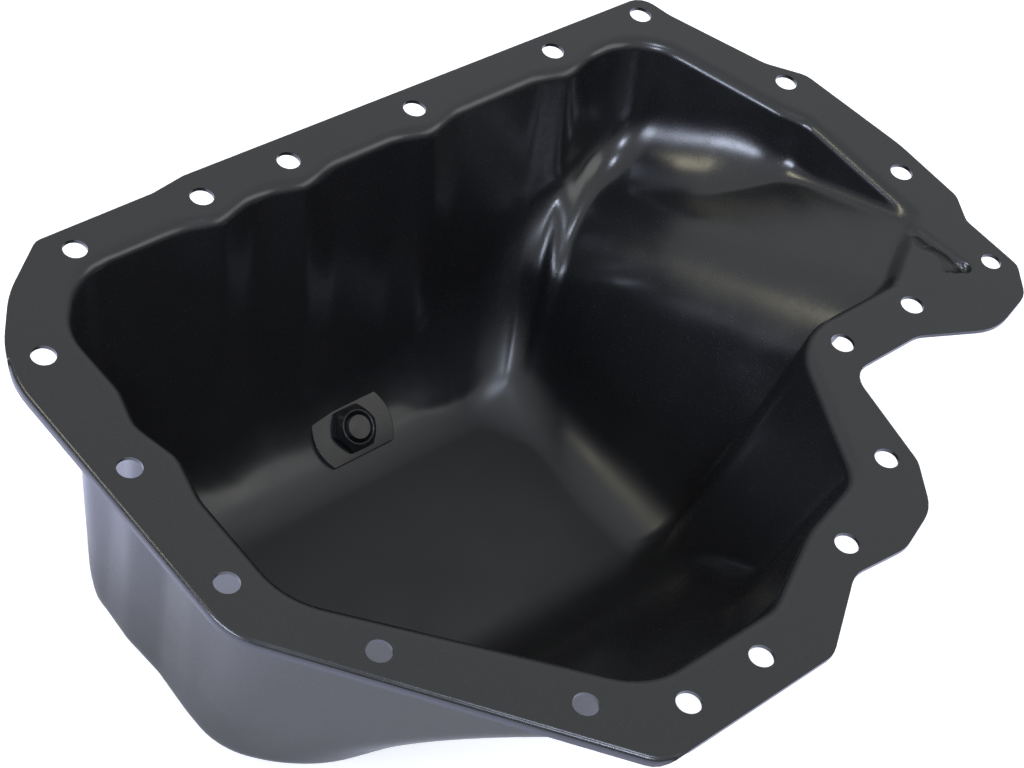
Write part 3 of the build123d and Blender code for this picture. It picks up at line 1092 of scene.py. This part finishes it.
@dataclass
class Nodes:
    """A node tree, with short ways to add the nodes that the finishes and the studio use."""

    tree: bpy.types.NodeTree

    def feed(self, target: Socket, value: object) -> None:
        """Links a socket to an input, or sets the input's own value."""
        if isinstance(value, Socket):
            self.tree.links.new(value, target)
        else:
            target.default_value = value

    def add(
        self, kind: str, inputs: dict[str | int, object] | None = None, **settings: object
    ) -> bpy.types.bpy_prop_collection:
        """Adds a shader node.

        Args:
            kind: the node's type name, without its first word.
            inputs: value or socket of each input, by name or number.
            settings: properties to set by name.

        Returns:
            The node's outputs.
        """
        made = self.tree.nodes.new("ShaderNode" + kind)
        for name, value in settings.items():
            setattr(made, name, value)
        for name, value in (inputs or {}).items():
            self.feed(made.inputs[name], value)
        return made.outputs

    def maths(self, operation: str, *values: object) -> Socket:
        """Works out one number from others."""
        return self.add("Math", dict(enumerate(values)), operation=operation)["Value"]

    def mixed(self, share: object, first: object, second: object) -> Socket:
        """Mixes two colours."""
        return self.add("Mix", {0: share, 6: first, 7: second}, data_type="RGBA")[2]

    def noise(
        self, where: Socket, scale: float, detail: float, roughness: float = 0.5
    ) -> Socket:
        """Adds a noise pattern."""
        given = {"Vector": where, "Scale": scale, "Detail": detail, "Roughness": roughness}
        return self.add("TexNoise", given)["Fac"]

    def remap(
        self,
        value: Socket,
        source: tuple[float, float],
        target: tuple[float, float] = (0.0, 1.0),
        smooth: bool = False,
    ) -> Socket:
        """Maps one range of a value to another one.

        Args:
            value: the value.
            source: the range it comes from.
            target: the range it is mapped to.
            smooth: whether it starts and ends softly.

        Returns:
            The new value.
        """
        given = {
            "Value": value, "From Min": source[0], "From Max": source[1],
            "To Min": target[0], "To Max": target[1],
        }
        blend = "SMOOTHSTEP" if smooth else "LINEAR"
        return self.add("MapRange", given, interpolation_type=blend)["Result"]


def coat_group() -> bpy.types.NodeTree:
    """Builds the group for a dipped coat: orange peel, runs, dust and changes of gloss.

    Returns:
        The node group, with the outputs Colour, Roughness and Height.
    """
    tree = bpy.data.node_groups.new("dipped_coat", "ShaderNodeTree")
    for name, way, kind in (
        ("Gloss", "INPUT", "Float"), ("Runs", "INPUT", "Float"), ("Dust", "INPUT", "Float"),
        ("Film", "INPUT", "Float"), ("Base", "INPUT", "Color"), ("Colour", "OUTPUT", "Color"),
        ("Roughness", "OUTPUT", "Float"), ("Height", "OUTPUT", "Float"),
    ):
        tree.interface.new_socket(name=name, in_out=way, socket_type="NodeSocket" + kind)
    kit = Nodes(tree)
    given = tree.nodes.new("NodeGroupInput").outputs
    out = tree.nodes.new("NodeGroupOutput").inputs
    place = kit.add("TexCoord")["Object"]
    upright = kit.add("Mapping", {"Vector": place, "Scale": (1.0, 1.0, 0.06)})["Vector"]
    peel = kit.noise(place, 420.0, 3.0, 0.6)
    runs = kit.noise(upright, 95.0, 2.5, 0.55)
    broad = kit.noise(place, 24.0, 4.0, 0.6)
    grains = kit.remap(kit.noise(place, 1500.0, 1.0), (0.66, 0.74))
    dust = kit.maths("MULTIPLY", grains, given["Dust"])
    grey = (0.30, 0.29, 0.27, 1)
    kit.feed(out["Colour"], kit.mixed(kit.maths("MULTIPLY", dust, 0.03), given["Base"], grey))
    # the film of old oil lies on the floor and the bevel, and thins out up the walls
    height = kit.add("SeparateXYZ", {"Vector": place})["Z"]
    low = kit.remap(height, (0.004, 0.05), (1.0, 0.0), smooth=True)
    floor = kit.remap(height, (0.0015, 0.006), (2.4, 1.0), smooth=True)
    oily = kit.maths("MULTIPLY", low, floor)
    film = kit.maths("MULTIPLY_ADD", oily, given["Film"], given["Gloss"])
    rough = kit.maths("ADD", film, kit.remap(broad, (0.3, 0.7), (-0.05, 0.07)))
    kit.feed(out["Roughness"], kit.maths("MULTIPLY_ADD", dust, 0.1, rough))
    drips = kit.maths("MULTIPLY", runs, given["Runs"])
    kit.feed(out["Height"], kit.maths("MULTIPLY_ADD", peel, 0.10, drips))
    return tree


def new_material(name: str) -> tuple[bpy.types.Material, Nodes, bpy.types.bpy_prop_collection]:
    """Starts a material.

    Args:
        name: its name.

    Returns:
        The material, its nodes and the inputs of its Principled shader.
    """
    made = bpy.data.materials.new(name)
    made.use_nodes = True
    return made, Nodes(made.node_tree), made.node_tree.nodes["Principled BSDF"].inputs


@dataclass(frozen=True)
class CoatFinish:
    """A glossy dipped coat over steel."""

    name: str
    base: tuple[float, float, float]
    gloss: float
    runs: float = 1.0
    dust: float = 1.0
    film: float = 0.0
    bump_mm: float = 0.03
    ior: float = 1.55

    def material(self, group: bpy.types.NodeTree) -> bpy.types.Material:
        """Builds the material.

        Args:
            group: the dipped coat's node group.

        Returns:
            The material.
        """
        made, kit, shader = new_material(self.name)
        given = {
            "Base": (*self.base, 1), "Gloss": self.gloss, "Runs": self.runs,
            "Dust": self.dust, "Film": self.film,
        }
        coat = kit.add("Group", given, node_tree=group)
        given = {"Strength": 1.0, "Distance": self.bump_mm * MM, "Height": coat["Height"]}
        kit.feed(shader["Normal"], kit.add("Bump", given)["Normal"])
        kit.feed(shader["Base Color"], coat["Colour"])
        kit.feed(shader["Roughness"], coat["Roughness"])
        kit.feed(shader["IOR"], self.ior)
        kit.feed(shader["Metallic"], 0.0)
        return made


@dataclass(frozen=True)
class PlatedFinish:
    """Bare or plated metal with a cloudy surface."""

    name: str
    base: tuple[float, float, float]
    roughness: float
    bump_mm: float = 0.03

    def material(self) -> bpy.types.Material:
        """Builds the material.

        Returns:
            The material.
        """
        made, kit, shader = new_material(self.name)
        cloud = kit.noise(kit.add("TexCoord")["Object"], 260.0, 5.0, 0.65)
        dark = (*[value * 0.6 for value in self.base], 1)
        kit.feed(shader["Base Color"], kit.mixed(cloud, dark, (*self.base, 1)))
        spread = (self.roughness - 0.08, self.roughness + 0.1)
        kit.feed(shader["Roughness"], kit.remap(cloud, (0.3, 0.7), spread))
        given = {"Strength": 0.5, "Distance": self.bump_mm * MM, "Height": cloud}
        kit.feed(shader["Normal"], kit.add("Bump", given)["Normal"])
        kit.feed(shader["Metallic"], 1.0)
        return made


def dress(piece: Solid, material: bpy.types.Material) -> None:
    """Gives a piece its material, in place of the ones it had."""
    piece.data.materials.clear()
    piece.data.materials.append(material)


# ---- the studio


def outward_from(azimuth: float, elevation: float) -> Vector:
    """Direction from the object to a place round it, from two angles in degrees."""
    a, e = math.radians(azimuth), math.radians(elevation)
    return Vector((math.sin(a) * math.cos(e), -math.cos(a) * math.cos(e), math.sin(e)))


@dataclass(frozen=True)
class Lamp:
    """A rectangular lamp: its direction in degrees, distance and size in metres, and watts."""

    name: str
    azimuth: float
    elevation: float
    distance: float
    size: tuple[float, float]
    power: float
    colour: tuple[float, float, float]

    def hang(self, aim: tuple[float, float, float]) -> None:
        """Hangs the lamp so that it points at a place in the frame, in metres."""
        data = bpy.data.lights.new(self.name, "AREA")
        data.shape = "RECTANGLE"
        data.size, data.size_y = self.size
        data.energy = self.power
        data.color = self.colour
        thing = bpy.data.objects.new(self.name, data)
        bpy.context.scene.collection.objects.link(thing)
        back = outward_from(self.azimuth, self.elevation)
        thing.location = Vector(aim) + back * self.distance
        thing.rotation_euler = back.to_track_quat("Z", "Y").to_euler()


@dataclass
class Studio:
    """Pale floor, soft lamps, white surroundings and the camera of the photograph."""

    camera_place: tuple[float, float, float] = (-382.3, -494.9, 632.4)
    azimuth: float = -52.62
    elevation: float = 46.42
    roll: float = 16.55
    focal_px: float = 2482.0
    image_width: float = 1024.0
    sensor: float = 36.0
    floor_seen: tuple[float, float, float] = (0.5, 0.5, 0.5)
    # colour of the floor's glow in glossy rays: a painted reflection, pale blue
    floor_painted_reflection: tuple[float, float, float] = (0.86, 0.92, 1.5)
    sky_reflected: tuple[float, float, float] = (0.80, 0.84, 0.86)
    sky_light: float = 0.65
    horizon_share: float = 0.3
    lamp_aim: tuple[float, float, float] = (0.03, 0.0, 0.06)
    # span of the painted shade that dims the floor's glossy glow near the pan
    floor_shade: tuple[float, float, float] = (0.19, 0.16, 1.0)

    def camera(self, home: Vector) -> None:
        """Places the camera.

        Args:
            home: the frame's origin, seen from the sixth bolt hole, in millimetres.
        """
        data = bpy.data.cameras.new("camera")
        data.sensor_width = self.sensor
        data.lens = self.focal_px / self.image_width * self.sensor
        data.clip_start, data.clip_end = 0.01, 50.0
        thing = bpy.data.objects.new("camera", data)
        bpy.context.scene.collection.objects.link(thing)
        a, r = math.radians(self.azimuth), math.radians(self.roll)
        back = outward_from(self.azimuth, self.elevation)
        level = Vector((math.cos(a), math.sin(a), 0))
        upright = back.cross(level)
        right = level * math.cos(r) + upright * math.sin(r)
        up = upright * math.cos(r) - level * math.sin(r)
        turn = Matrix((right, up, back)).transposed().to_4x4()
        place = (Vector(self.camera_place) + home) * MM
        thing.matrix_world = Matrix.Translation(place) @ turn
        bpy.context.scene.camera = thing

    def floor(self) -> None:
        """Adds the pale floor, which shows white around the object and keeps its shadow; in glossy
        rays it glows pale blue as a painted reflection, with painted shade that dims that glow near
        the pan.
        """
        bpy.ops.object.select_all(action="DESELECT")
        bpy.ops.mesh.primitive_plane_add(size=8, location=(0, 0, -0.0005))
        floor = newest("floor")
        made, kit, shader = new_material("pale_floor")
        kit.feed(shader["Base Color"], (0.82, 0.82, 0.83, 1))
        kit.feed(shader["Roughness"], 0.9)
        kit.feed(shader["Specular IOR Level"], 0.0)
        path = kit.add("LightPath")
        # camera rays see an even grey glow; glossy rays see a painted pale-blue reflection
        colour = kit.mixed(
            path["Is Camera Ray"], (*self.floor_painted_reflection, 1), (*self.floor_seen, 1)
        )
        # painted shade: the glow seen in gloss fades out near the pan, standing in for the pan's
        # shadow on the floor
        given = {"Vector": kit.add("TexCoord")["Object"], "Scale": self.floor_shade}
        span = kit.add("Mapping", given, vector_type="TEXTURE")["Vector"]
        far = kit.add("VectorMath", {0: span}, operation="LENGTH")["Value"]
        away = kit.remap(far, (0.85, 1.45), (0.1, 1.0), smooth=True)
        mirrored = kit.maths("MULTIPLY", path["Is Glossy Ray"], away)
        strength = kit.maths("MAXIMUM", path["Is Camera Ray"], mirrored)
        glow = kit.add("Emission", {"Color": colour, "Strength": strength})["Emission"]
        lit = kit.tree.nodes["Principled BSDF"].outputs["BSDF"]
        both = kit.add("AddShader", {0: lit, 1: glow})["Shader"]
        kit.feed(kit.tree.nodes["Material Output"].inputs["Surface"], both)
        floor.data.materials.append(made)

    def world(self) -> None:
        """Lights the scene evenly, white in the camera and dimmer towards the horizon in gloss."""
        made = bpy.data.worlds.new("white_room")
        bpy.context.scene.world = made
        made.use_nodes = True
        kit = Nodes(made.node_tree)
        path = kit.add("LightPath")
        height = kit.add("SeparateXYZ", {"Vector": kit.add("TexCoord")["Generated"]})["Z"]
        rise = kit.remap(height, (0.1, 0.6), (self.horizon_share, 1.0), smooth=True)
        given = {0: self.sky_reflected, "Scale": rise}
        mirrored = kit.add("VectorMath", given, operation="SCALE")["Vector"]
        room = kit.mixed(path["Is Glossy Ray"], (*[self.sky_light] * 3, 1), mirrored)
        shown = kit.mixed(path["Is Camera Ray"], room, (1, 1, 1, 1))
        kit.feed(made.node_tree.nodes["Background"].inputs["Color"], shown)

    def lamps(self) -> None:
        """Adds the lamps: cool ones at the left and in front, a warm strip and a wide panel."""
        cool, plain, warm = (0.72, 0.80, 1.0), (1.0, 0.98, 0.94), (1.0, 0.93, 0.68)
        for lamp in (
            Lamp("left_window", -95, 19, 1.6, (0.8, 0.26), 16.0, cool),
            Lamp("back_strip", -132, 38, 1.6, (0.5, 0.12), 3.0, warm),
            Lamp("front_lamp", -42, 39, 1.6, (0.18, 0.18), 7.0, cool),
            Lamp("upper_lamp", -36, 68, 1.6, (0.24, 0.24), 5.0, cool),
            Lamp("right_panel", 44, 38, 1.8, (1.3, 0.7), 5.0, plain),
        ):
            lamp.hang(self.lamp_aim)


def main() -> None:
    """Builds the pan, its drain and the studio in order."""
    logging.basicConfig(level=logging.INFO)
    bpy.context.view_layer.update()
    bpy.context.scene.view_settings.view_transform = "Standard"
    pressing = PanPressing()
    drain = DrainFittings()
    group = coat_group()
    pan_coat = CoatFinish("pan_black_coat", (0.008, 0.008, 0.009), 0.22, 1.0, 1.0, 0.11)
    boss_coat = CoatFinish("boss_black_coat", (0.009, 0.009, 0.010), 0.24, 0.2, 1.6, ior=1.4)
    plug_plate = PlatedFinish("plug_black_zinc", (0.060, 0.060, 0.060), 0.34)
    washer_metal = PlatedFinish("washer_aluminium", (0.60, 0.60, 0.60), 0.42)

    shell = pressing.build()
    dress(shell, pan_coat.material(group))
    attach(shell, "pan")
    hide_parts("pan_pressing")

    place = drain_place()
    boss_material = boss_coat.material(group)
    rows = (
        (drain.boss_plate(), boss_material, Slot.BLACK_COAT, "pan", "drain_boss_plate"),
        (drain.weld_nut(), boss_material, Slot.BLACK_COAT, "pan", "drain_weld_nut"),
        (drain.plug(), plug_plate.material(), Slot.PLUG_STEEL, "plug", "drain_plug"),
        (drain.washer(), washer_metal.material(), Slot.WASHER_METAL, "washer", "sealing_washer"),
    )
    for piece, material, slot, body, stands_for in rows:
        settle(piece, place)
        dress(piece, material)
        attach(piece, body)
        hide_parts(stands_for)
        log.info("%s: %d faces", piece.name, len(piece.data.polygons))

    studio = Studio()
    studio.floor()
    studio.world()
    studio.lamps()
    studio.camera(pressing.home)


if __name__ == "__main__":
    main()
